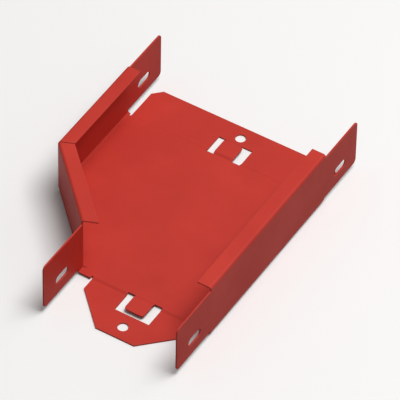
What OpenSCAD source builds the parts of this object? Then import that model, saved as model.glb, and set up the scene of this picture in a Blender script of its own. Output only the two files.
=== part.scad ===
// Cable tray reducer: one folded sheet that joins a run 100 mm wide to a run 150 mm wide.
// x runs from the narrow end to the wide end, y to the stepped side, z up.
// The plain side stays straight, and the other side steps out along a diagonal wall.
// The body ends at two stop lines, and its tabs and tongues reach out past them.

/* [Widths and height] */
// Outer width at the narrow end
narrow_width = 97.6; // [60:0.1:200]
// Outer width at the wide end
wide_width = 147.6; // [80:0.1:400]
// Height of the body from its underside to the top of its flanges
body_height = 42; // [25:0.5:100]
// Width of the top flanges from the outer wall face
flange_width = 10; // [5:0.5:20]

/* [Lengths] */
// Length of the body between the two stop lines
body_length = 136; // [90:0.5:400]
// Straight length between the narrow stop line and the diagonal wall
narrow_lead = 5; // [3:0.5:40]
// Angle between the diagonal wall and the run
taper_angle = 45; // [20:1:60]

/* [Sheet] */
// Sheet thickness
sheet = 1; // [0.7:0.1:2]
// Inner radius of the folds
fold_radius = 1; // [0.5:0.1:3]
// Width of the seams where two folded walls meet at a corner
seam_gap = 0.6; // [0.2:0.1:0.8]

/* [Base tabs] */
// Drop of the base tabs below the body base
tab_drop = 1; // [0.5:0.1:2]
// Length of the sloped step into a base tab or a tongue
step_length = 2; // [1:0.5:6]
// Width of the relief cuts beside the root of a base tab
relief = 1.2; // [0.5:0.1:3]
// Length of the narrow base tab past the stop line
narrow_tab_length = 33; // [20:0.5:60]
// Width of the narrow base tab at its root
narrow_tab_root = 76; // [40:0.5:180]
// Width of the narrow base tab at its tip
narrow_tab_tip = 28; // [20:0.5:120]
// Length of the wide base tab past the stop line
wide_tab_length = 29; // [20:0.5:60]
// Width of the wide base tab at its root
wide_tab_root = 140; // [60:0.5:380]
// Corner cut of the wide base tab
wide_tab_cut = 6; // [2:0.5:20]
// Distance of the fixing hole from the narrow stop line
narrow_hole_reach = 23.5; // [18:0.5:50]
// Distance of the fixing hole from the wide stop line
wide_hole_reach = 19.5; // [18:0.5:50]
// Diameter of the fixing holes
bolt_hole = 7; // [4:0.5:12]

/* [Tongues] */
// Width of the raised tongues
tongue_width = 14; // [8:0.5:30]
// Reach of the tongues past the stop lines
tongue_reach = 11.5; // [6:0.5:16]
// Height of the tongues above the body base
tongue_lift = 1.2; // [0.8:0.1:3]
// Corner radius of the tongues
tongue_corner = 2; // [0.5:0.5:4]
// Width of the clear slots beside the tongues
slot_width = 5.5; // [2:0.5:10]
// Reach of the slots into the body
slot_depth = 2.5; // [2:0.5:8]
// Clear gap in front of the tongue tips
slot_end = 2; // [1:0.5:6]

/* [Wall tabs] */
// Reach of the wall tabs past the stop lines
ear_reach = 39; // [20:0.5:70]
// Gap between the body underside and the wall tabs
ear_gap = 3; // [2.5:0.5:10]
// Distance from the flange top down to the wall tabs
ear_drop = 3; // [2:0.5:10]
// Corner radius of the wall tabs
ear_corner = 3; // [1:0.5:8]
// Length of the slots in the wall tabs
ear_slot_length = 14; // [8:0.5:24]
// Height of the slots in the wall tabs
ear_slot_height = 6.5; // [4:0.5:10]
// Distance of the slots from the stop lines
ear_slot_reach = 18.6; // [12:0.1:40]
// Height of the slots above the body underside
ear_slot_level = 14.7; // [8:0.1:30]

/* [Hidden] */
$fn = 48;
over = 1;
paint = [0.72, 0.2, 0.17];

bend = fold_radius + sheet;
base_strip = 3 * sheet;
base_inset = bend + sheet;
base_z = tab_drop;
wall_low = base_z + bend;
wall_high = base_z + body_height - bend;
offset_width = wide_width - narrow_width;
taper_run = offset_width / tan(taper_angle);
taper_length = offset_width / sin(taper_angle);
corner_shift = tan(taper_angle / 2);
seam_recess = 0.35 * sheet;
seam_depth = sheet / cos(taper_angle / 2);
corner_x = narrow_lead + taper_run;
span = narrow_width + wide_width + body_length;
ear_low = base_z + ear_gap;
ear_high = base_z + body_height - ear_drop;
window_width = tongue_width + 2 * slot_width;
x_mid = body_length / 2;
y_mid = wide_width / 2;
narrow_axis = narrow_width / 2;
wide_axis = wide_width / 2;

// Quarter ring of a fold round the origin, on its -x side: above the origin or below it.
module fold(above) {
    intersection() {
        difference() {
            circle(r = bend);
            circle(r = fold_radius);
        }
        translate([-bend, above ? 0 : -bend])
            square(bend);
    }
}

// Section of a wall: x inward from the outer face, y up. It ends in a strip of the flat base.
module wall_section() {
    translate([bend, base_z])
        square([base_strip, sheet]);
    translate([bend, wall_low])
        fold(false);
    translate([0, wall_low])
        square([sheet, wall_high - wall_low]);
    translate([bend, wall_high])
        fold(true);
    translate([bend, wall_high + fold_radius])
        square([flange_width - bend, sheet]);
}

// A wall along x whose outer face is at y = 0 and whose inner side is at +y.
module wall_run(length) {
    rotate([90, 0, 90])
        linear_extrude(height = length)
            wall_section();
}

// Everything beyond the seam at a corner, toward the given heading.
module beyond_seam(at, heading) {
    translate([at[0], at[1], 0])
        rotate([0, 0, heading])
            translate([seam_gap / 2, -span, -over])
                cube([2 * span, 2 * span, body_height + tab_drop + 2 * over]);
}

module stepped_side() {
    translate([body_length, wide_width, 0])
        rotate([0, 0, 180])
            wall_run(body_length - corner_x + flange_width);
}

module diagonal_side() {
    translate([corner_x, wide_width, 0])
        rotate([0, 0, 180 + taper_angle])
            translate([-flange_width, 0, 0])
                wall_run(taper_length + 2 * flange_width);
}

module lead_side() {
    translate([narrow_lead + flange_width, narrow_width, 0])
        rotate([0, 0, 180])
            wall_run(narrow_lead + flange_width);
}

// Weld that closes the seam at a corner, sunk a little below both faces of the sheet.
module seam_weld(at, top) {
    translate([at[0], at[1], wall_low])
        rotate([0, 0, taper_angle / 2])
            translate([-seam_gap, seam_recess - seam_depth, 0])
                cube([2 * seam_gap, seam_depth - 2 * seam_recess, top - wall_low]);
}

// Everything below the top edge of the wall tabs.
module below_flange() {
    translate([-span, -span, -over])
        cube([3 * span, 3 * span, ear_high + over]);
}

// The three straight lengths of the stepped side, mitred and welded at its two corners.
module stepped_walls() {
    outer = [corner_x, wide_width];
    inner = [narrow_lead, narrow_width];
    intersection() {
        stepped_side();
        beyond_seam(outer, taper_angle / 2);
    }
    intersection() {
        diagonal_side();
        beyond_seam(outer, 180 + taper_angle / 2);
        beyond_seam(inner, taper_angle / 2);
    }
    intersection() {
        lead_side();
        beyond_seam(inner, 180 + taper_angle / 2);
        below_flange();
    }
    seam_weld(outer, wall_high);
    seam_weld(inner, ear_high - sheet);
}

// Flat base of the body, inside the folds.
module base_plate() {
    shift = base_inset * corner_shift;
    translate([0, 0, base_z])
        linear_extrude(height = sheet)
            polygon([
                [0, base_inset],
                [body_length, base_inset],
                [body_length, wide_width - base_inset],
                [corner_x + shift, wide_width - base_inset],
                [narrow_lead + shift, narrow_width - base_inset],
                [0, narrow_width - base_inset]
            ]);
}

// Places a child at the narrow stop line, with x outward along the run.
module narrow_end() {
    translate([0, narrow_axis, 0])
        mirror([1, 0, 0])
            children();
}

// Places a child at the wide stop line, with x outward along the run.
module wide_end() {
    translate([body_length, wide_axis, 0])
        children();
}

// Room at a stop line for the sloped root of a base tab and the relief cuts beside it.
module tab_clearance(root) {
    translate([-step_length, -root / 2 - relief, 0])
        cube([step_length + over, root + 2 * relief, base_z + sheet + over]);
}

// Sloped sheet along x from one level to another.
module step(width, from_z, to_z) {
    translate([0, width / 2, 0])
        rotate([90, 0, 0])
            linear_extrude(height = width)
                polygon([
                    [0, from_z],
                    [step_length, to_z],
                    [step_length, to_z + sheet],
                    [0, from_z + sheet]
                ]);
}

// Opening round a tongue.
module tongue_window() {
    translate([-slot_depth, -window_width / 2, -over])
        cube([slot_depth + tongue_reach + slot_end, window_width, base_z + sheet + 2 * over]);
}

// A raised tongue with rounded corners.
module tongue() {
    level = base_z + tongue_lift;
    start = step_length - slot_depth;
    translate([-slot_depth, 0, 0])
        step(tongue_width, base_z, level);
    translate([0, 0, level])
        linear_extrude(height = sheet) {
            translate([start, -tongue_width / 2])
                square([tongue_reach - tongue_corner - start, tongue_width]);
            translate([start, tongue_corner - tongue_width / 2])
                square([tongue_reach - start, tongue_width - 2 * tongue_corner]);
            for (side = [-1, 1])
                translate([tongue_reach - tongue_corner, side * (tongue_width / 2 - tongue_corner)])
                    circle(r = tongue_corner);
        }
}

// A base tab that steps down below the base, with its fixing hole and the room round the tongue.
module base_tab(outline, root, hole_reach) {
    difference() {
        union() {
            translate([-step_length, 0, 0])
                step(root, base_z, 0);
            linear_extrude(height = sheet)
                polygon(outline);
        }
        tongue_window();
        translate([hole_reach, 0, -over])
            cylinder(d = bolt_hole, h = sheet + 2 * over);
    }
}

module narrow_tab() {
    lead = narrow_tab_length - (narrow_tab_root - narrow_tab_tip) / 2;
    base_tab([
        [0, -narrow_tab_root / 2],
        [lead, -narrow_tab_root / 2],
        [narrow_tab_length, -narrow_tab_tip / 2],
        [narrow_tab_length, narrow_tab_tip / 2],
        [lead, narrow_tab_root / 2],
        [0, narrow_tab_root / 2]
    ], narrow_tab_root, narrow_hole_reach);
}

module wide_tab() {
    base_tab([
        [0, -wide_tab_root / 2],
        [wide_tab_length - wide_tab_cut, -wide_tab_root / 2],
        [wide_tab_length, wide_tab_cut - wide_tab_root / 2],
        [wide_tab_length, wide_tab_root / 2 - wide_tab_cut],
        [wide_tab_length - wide_tab_cut, wide_tab_root / 2],
        [0, wide_tab_root / 2]
    ], wide_tab_root, wide_hole_reach);
}

// A round-ended slot along x with its centre at the origin.
module slot_outline() {
    straight = ear_slot_length - ear_slot_height;
    translate([-straight / 2, -ear_slot_height / 2])
        square([straight, ear_slot_height]);
    for (side = [-1, 1])
        translate([side * straight / 2, 0])
            circle(d = ear_slot_height);
}

// Outline of a wall tab: x outward from the stop line, y up.
module ear_outline() {
    difference() {
        union() {
            translate([0, ear_low])
                square([ear_reach - ear_corner, ear_high - ear_low]);
            translate([0, ear_low + ear_corner])
                square([ear_reach, ear_high - ear_low - 2 * ear_corner]);
            for (level = [ear_low + ear_corner, ear_high - ear_corner])
                translate([ear_reach - ear_corner, level])
                    circle(r = ear_corner);
        }
        translate([ear_slot_reach, base_z + ear_slot_level])
            slot_outline();
    }
}

// A wall tab outward along x, with its lower y face at y = 0.
module wall_tab() {
    translate([0, sheet, 0])
        rotate([90, 0, 0])
            linear_extrude(height = sheet)
                ear_outline();
}

module wall_tabs() {
    for (y = [0, narrow_width - sheet])
        translate([0, y, 0])
            mirror([1, 0, 0])
                wall_tab();
    for (y = [0, wide_width - sheet])
        translate([body_length, y, 0])
            wall_tab();
}

// The base and the walls between the stop lines.
module channel() {
    difference() {
        union() {
            base_plate();
            wall_run(body_length);
            stepped_walls();
        }
        narrow_end() {
            tab_clearance(narrow_tab_root);
            tongue_window();
        }
        wide_end() {
            tab_clearance(wide_tab_root);
            tongue_window();
        }
    }
}

module reducer_body() {
    color(paint)
        translate([-x_mid, -y_mid, 0]) {
            channel();
            narrow_end() {
                narrow_tab();
                tongue();
            }
            wide_end() {
                wide_tab();
                tongue();
            }
            wall_tabs();
        }
}

reducer_body();
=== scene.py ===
"""Looks of a cable tray reducer: one folded steel sheet under a satin red powder coat.

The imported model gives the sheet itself. This script adds its finish, a pale floor, soft lamps and
the camera.
"""

import logging
import math
from dataclasses import dataclass, field
from enum import Enum
from typing import Any, Callable

import bpy
import numpy as np
from mathutils import Matrix, Vector


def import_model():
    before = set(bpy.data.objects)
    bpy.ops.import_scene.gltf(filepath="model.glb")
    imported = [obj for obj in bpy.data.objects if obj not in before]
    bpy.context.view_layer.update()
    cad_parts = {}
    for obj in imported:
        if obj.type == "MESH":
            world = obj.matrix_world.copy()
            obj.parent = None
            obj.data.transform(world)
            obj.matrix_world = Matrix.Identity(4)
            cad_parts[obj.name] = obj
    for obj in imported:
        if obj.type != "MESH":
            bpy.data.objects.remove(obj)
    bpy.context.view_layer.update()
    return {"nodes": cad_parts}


LOG = logging.getLogger("reducer")
MM = 0.001

# The sRGB curve is straight up to its knee, and a power above it.
SRGB_FULL = 255.0
SRGB_KNEE = 0.04045
SRGB_SLOPE = 12.92
SRGB_LIFT = 0.055
SRGB_POWER = 2.4

Point = tuple[float, float, float]
Colour = tuple[float, float, float, float]


class LampRole(Enum):
    """What a lamp does for the picture."""

    KEY = "key"
    FILL = "fill"


def srgb_hex(code: str) -> Colour:
    """Turn an sRGB hex colour into linear light.

    Args:
        code: Six hex digits after a hash sign.

    Returns:
        Linear red, green and blue, with an alpha of one.
    """
    parts = np.frombuffer(bytes.fromhex(code.removeprefix("#")), np.uint8) / SRGB_FULL
    curve = ((parts + SRGB_LIFT) / (1.0 + SRGB_LIFT)) ** SRGB_POWER
    red, green, blue = np.where(parts <= SRGB_KNEE, parts / SRGB_SLOPE, curve).tolist()
    return (red, green, blue, 1.0)


def add_node(
    tree: bpy.types.NodeTree,
    kind: str,
    settings: dict[str, Any] | None = None,
    inputs: dict[str, Any] | None = None,
    links: dict[str | int, bpy.types.NodeSocket] | None = None,
) -> bpy.types.Node:
    """Add one shader node with its settings, values and links.

    Args:
        tree: Node tree that gets the node.
        kind: Blender's type name of the node.
        settings: Attributes of the node itself.
        inputs: Values of its input sockets, by socket name.
        links: Output sockets that feed its input sockets, by socket name or number.

    Returns:
        The new node.
    """
    node = tree.nodes.new(kind)
    for name, value in (settings or {}).items():
        setattr(node, name, value)
    for name, value in (inputs or {}).items():
        node.inputs[name].default_value = value
    for name, socket in (links or {}).items():
        tree.links.new(socket, node.inputs[name])
    return node


def new_material(name: str) -> bpy.types.Material:
    """Make a material with an empty node tree.

    Args:
        name: Name of the material.

    Returns:
        The new material.
    """
    material = bpy.data.materials.new(name)
    material.use_nodes = True
    material.node_tree.nodes.clear()
    return material


def surface_mesh(
    name: str,
    formula: Callable[[np.ndarray, np.ndarray], np.ndarray],
    u: np.ndarray,
    v: np.ndarray,
) -> bpy.types.Object:
    """Make a mesh object from a surface over a grid of two parameters.

    Args:
        name: Name of the object and its mesh.
        formula: Takes the grids of both parameters and gives points in its last axis.
        u: Values of the first parameter.
        v: Values of the second parameter.

    Returns:
        The new object, linked to the scene.
    """
    grid_u, grid_v = np.meshgrid(u, v, indexing="ij")
    points = formula(grid_u, grid_v).reshape(-1, 3)
    index = np.arange(len(u) * len(v)).reshape(len(u), len(v))
    ring = (index[:-1, :-1], index[1:, :-1], index[1:, 1:], index[:-1, 1:])
    quads = np.stack(ring, axis=-1).reshape(-1, 4)
    mesh = bpy.data.meshes.new(name)
    mesh.from_pydata(points.tolist(), [], quads.tolist())
    mesh.update()
    piece = bpy.data.objects.new(name, mesh)
    bpy.context.scene.collection.objects.link(piece)
    return piece


@dataclass(frozen=True)
class RedPowderCoat:
    """Polyester powder coat, baked to a satin skin on folded steel sheet.

    It gives the eye a warm, even red with a soft, broad sheen. The powder lies a little thinner and
    darker in some places, flows out to a faint orange peel, and pulls back from every cut edge, which
    it leaves round. Every edge gets a paler red, partly for the thinner coat there and partly as a
    painted highlight.
    """

    name: str = "satin_red_powder_coat"
    full_coat: str = "#CD382A"
    thin_coat: str = "#B4291D"
    # Paler red on every edge: partly the thinner coat there, partly a painted highlight.
    pale_edge_coat_and_highlight: str = "#D65A4A"
    ior: float = 1.4
    gloss_roughness: float = 0.58
    dull_roughness: float = 0.68
    drift_mm: float = 38.0
    drift_layers: float = 3.0
    # Real orange peel has waves of about 1 mm. They are drawn twice as coarse, because finer ones
    # don't show.
    peel_mm: float = 2.2
    peel_layers: float = 1.0
    peel_height_mm: float = 0.03
    peel_strength: float = 0.5
    # Strength of each finer layer of a pattern, as a share of the one before it.
    layer_fade: float = 0.5
    edge_radius_mm: float = 0.35
    edge_samples: int = 6
    # Cosine of the turn at which an edge shows all its paler red, partly thinner coat and partly
    # painted highlight.
    edge_turn: float = 0.8

    def build(self) -> bpy.types.Material:
        """Return the finish as a node material."""
        material = new_material(self.name)
        tree = material.node_tree
        place = add_node(tree, "ShaderNodeTexCoord").outputs["Object"]
        drift = self._noise(tree, place, self.drift_mm, self.drift_layers)
        edge = add_node(
            tree,
            "ShaderNodeBevel",
            settings={"samples": self.edge_samples},
            inputs={"Radius": self.edge_radius_mm * MM},
        ).outputs["Normal"]
        gloss = add_node(
            tree,
            "ShaderNodeMapRange",
            inputs={"To Min": self.dull_roughness, "To Max": self.gloss_roughness},
            links={"Value": drift},
        )
        shader = add_node(
            tree,
            "ShaderNodeBsdfPrincipled",
            inputs={"IOR": self.ior, "Metallic": 0.0},
            links={
                "Base Color": self._colour(tree, drift, edge),
                "Roughness": gloss.outputs["Result"],
                "Normal": self._peel(tree, place, edge),
            },
        )
        add_node(tree, "ShaderNodeOutputMaterial", links={"Surface": shader.outputs["BSDF"]})
        return material

    def _noise(
        self,
        tree: bpy.types.NodeTree,
        place: bpy.types.NodeSocket,
        wave_mm: float,
        layers: float,
    ) -> bpy.types.NodeSocket:
        """Return a cloudy pattern with waves of that length.

        Args:
            tree: Node tree of the finish.
            place: Object coordinates, in metres.
            wave_mm: Length of one wave.
            layers: How many finer layers lie on the wave.

        Returns:
            The pattern's value, from zero to one.
        """
        noise = add_node(
            tree,
            "ShaderNodeTexNoise",
            inputs={"Scale": 1.0 / (wave_mm * MM), "Detail": layers, "Roughness": self.layer_fade},
            links={"Vector": place},
        )
        return noise.outputs["Fac"]

    def _colour(
        self,
        tree: bpy.types.NodeTree,
        drift: bpy.types.NodeSocket,
        edge: bpy.types.NodeSocket,
    ) -> bpy.types.NodeSocket:
        """Return the red of the coat, from thin to full, and paler along the edges: a thinner coat and
        a painted highlight.

        Args:
            tree: Node tree of the finish.
            drift: Thickness of the coat, from zero to one.
            edge: Normal of the rounded edges.

        Returns:
            The colour for the shader.
        """
        coat = add_node(
            tree,
            "ShaderNodeMixRGB",
            inputs={"Color1": srgb_hex(self.thin_coat), "Color2": srgb_hex(self.full_coat)},
            links={"Fac": drift},
        )
        flat = add_node(tree, "ShaderNodeNewGeometry").outputs["Normal"]
        turn = add_node(
            tree,
            "ShaderNodeVectorMath",
            settings={"operation": "DOT_PRODUCT"},
            links={0: edge, 1: flat},
        )
        # Mask of the paler edge red, partly thinner coat and partly painted highlight.
        pale_edge_and_highlight_mask = add_node(
            tree,
            "ShaderNodeMapRange",
            inputs={"From Min": 1.0, "From Max": self.edge_turn},
            links={"Value": turn.outputs["Value"]},
        )
        colour = add_node(
            tree,
            "ShaderNodeMixRGB",
            inputs={"Color2": srgb_hex(self.pale_edge_coat_and_highlight)},
            links={"Fac": pale_edge_and_highlight_mask.outputs["Result"], "Color1": coat.outputs["Color"]},
        )
        return colour.outputs["Color"]

    def _peel(
        self,
        tree: bpy.types.NodeTree,
        place: bpy.types.NodeSocket,
        edge: bpy.types.NodeSocket,
    ) -> bpy.types.NodeSocket:
        """Return the normal of the coat: a faint orange peel over the rounded edges.

        Args:
            tree: Node tree of the finish.
            place: Object coordinates, in metres.
            edge: Normal of the rounded edges.

        Returns:
            The normal for the shader.
        """
        waves = self._noise(tree, place, self.peel_mm, self.peel_layers)
        peel = add_node(
            tree,
            "ShaderNodeBump",
            inputs={"Strength": self.peel_strength, "Distance": self.peel_height_mm * MM},
            links={"Height": waves, "Normal": edge},
        )
        return peel.outputs["Normal"]


@dataclass
class FoldedSheet:
    """The reducer itself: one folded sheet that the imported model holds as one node."""

    node: str = "reducer_body"
    finish: RedPowderCoat = field(default_factory=RedPowderCoat)

    def dress(self, nodes: dict[str, bpy.types.Object]) -> None:
        """Give the sheet its finish.

        Args:
            nodes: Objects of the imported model, by node name.
        """
        piece = nodes[self.node]
        piece.data.materials.clear()
        piece.data.materials.append(self.finish.build())
        LOG.info("sheet %s has finish %s", self.node, self.finish.name)


@dataclass
class PaleFloor:
    """A plain matt floor under the sheet, wide enough to fill every view.

    The eye and the gloss of the coat see it pale. It throws back less light than that, as a grey floor
    does, so that the upright walls keep their depth of colour.
    """

    half_width_m: float = 6.0
    steps: int = 13
    drop_mm: float = 0.05
    seen_colour: str = "#F7F6F5"
    bounce_colour: str = "#757472"
    seen_paths: tuple[str, ...] = ("Is Camera Ray", "Is Glossy Ray", "Is Transmission Ray")

    def build(self) -> bpy.types.Object:
        """Return the floor."""
        reach = np.linspace(-self.half_width_m, self.half_width_m, self.steps)
        floor = surface_mesh("pale_floor", self._plane, reach, reach)
        floor.data.materials.append(self._finish())
        LOG.info("floor reaches %.1f m each way", self.half_width_m)
        return floor

    def _plane(self, u: np.ndarray, v: np.ndarray) -> np.ndarray:
        """Level plane just under z = 0: x is u, y is v, and z is minus the drop.

        Args:
            u: Grid of x.
            v: Grid of y.

        Returns:
            Points in the last axis.
        """
        return np.stack((u, v, np.full_like(u, -self.drop_mm * MM)), axis=-1)

    def _finish(self) -> bpy.types.Material:
        """Return matt emulsion on board: pale, even and without gloss."""
        material = new_material("matt_pale_emulsion")
        tree = material.node_tree
        colour = add_node(
            tree,
            "ShaderNodeMixRGB",
            inputs={"Color1": srgb_hex(self.bounce_colour), "Color2": srgb_hex(self.seen_colour)},
            links={"Fac": self._seen(tree)},
        )
        shader = add_node(tree, "ShaderNodeBsdfDiffuse", links={"Color": colour.outputs["Color"]})
        add_node(tree, "ShaderNodeOutputMaterial", links={"Surface": shader.outputs["BSDF"]})
        return material

    def _seen(self, tree: bpy.types.NodeTree) -> bpy.types.NodeSocket:
        """Tell where the floor is seen, by the eye or in a gloss, from where it only throws back light.

        Args:
            tree: Node tree of the floor.

        Returns:
            One where the floor is seen, and zero elsewhere.
        """
        path = add_node(tree, "ShaderNodeLightPath")
        seen = path.outputs[self.seen_paths[0]]
        for name in self.seen_paths[1:]:
            either = add_node(
                tree,
                "ShaderNodeMath",
                settings={"operation": "MAXIMUM"},
                links={0: seen, 1: path.outputs[name]},
            )
            seen = either.outputs["Value"]
        return seen


@dataclass(frozen=True)
class SoftLamp:
    """A square studio lamp that faces the middle of the sheet."""

    role: LampRole
    place_m: Point
    side_m: float
    power_w: float

    def build(self) -> bpy.types.Object:
        """Return the lamp, turned to the sheet."""
        data = bpy.data.lights.new(f"{self.role.value}_lamp", "AREA")
        data.shape = "SQUARE"
        data.size = self.side_m
        data.energy = self.power_w
        lamp = bpy.data.objects.new(data.name, data)
        lamp.location = Vector(self.place_m)
        lamp.rotation_euler = (-lamp.location).to_track_quat("-Z", "Y").to_euler()
        bpy.context.scene.collection.objects.link(lamp)
        LOG.info("%s lamp of %.1f W", self.role.value, self.power_w)
        return lamp


@dataclass
class Studio:
    """Soft lamps and an even pale sky, at a level that shows colours about as written."""

    sky: str = "#FFFFFF"
    sky_strength: float = 0.22
    lamps: tuple[SoftLamp, ...] = (
        SoftLamp(role=LampRole.KEY, place_m=(0.3, -0.6, 2.3), side_m=1.3, power_w=48.0),
        SoftLamp(role=LampRole.FILL, place_m=(1.6, -0.6, 1.2), side_m=1.0, power_w=2.5),
    )

    def build(self) -> None:
        """Make the sky and the lamps."""
        world = bpy.data.worlds.new("pale_sky")
        world.use_nodes = True
        tree = world.node_tree
        tree.nodes.clear()
        sky = add_node(
            tree,
            "ShaderNodeBackground",
            inputs={"Color": srgb_hex(self.sky), "Strength": self.sky_strength},
        )
        add_node(tree, "ShaderNodeOutputWorld", links={"Surface": sky.outputs["Background"]})
        bpy.context.scene.world = world
        for lamp in self.lamps:
            lamp.build()


@dataclass
class ProductCamera:
    """The camera: high over the narrow end, looking down the run."""

    place_m: Point = (-1.785, -1.0987, 2.1766)
    aim_m: Point = (0.0107, -0.0169, 0.0203)
    roll_deg: float = 1.223
    lens_mm: float = 432.0
    sensor_mm: float = 36.0
    far_m: float = 50.0

    def build(self) -> bpy.types.Object:
        """Return the camera, made the scene's own."""
        data = bpy.data.cameras.new("product_camera")
        data.sensor_width = self.sensor_mm
        data.lens = self.lens_mm
        data.clip_end = self.far_m
        camera = bpy.data.objects.new(data.name, data)
        place = Vector(self.place_m)
        turn = (Vector(self.aim_m) - place).to_track_quat("-Z", "Y").to_matrix().to_4x4()
        roll = Matrix.Rotation(math.radians(self.roll_deg), 4, "Z")
        camera.matrix_world = Matrix.Translation(place) @ turn @ roll
        bpy.context.scene.collection.objects.link(camera)
        bpy.context.scene.camera = camera
        LOG.info("camera with a %.0f mm lens", self.lens_mm)
        return camera


def main() -> None:
    """Load the frame, dress the sheet, and set the floor, the lamps and the camera."""
    logging.basicConfig(level=logging.INFO, format="%(name)s: %(message)s")
    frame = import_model()
    ProductCamera().build()
    FoldedSheet().dress(frame["nodes"])
    PaleFloor().build()
    Studio().build()
    bpy.context.scene.view_settings.view_transform = "Standard"


if __name__ == "__main__":
    main()
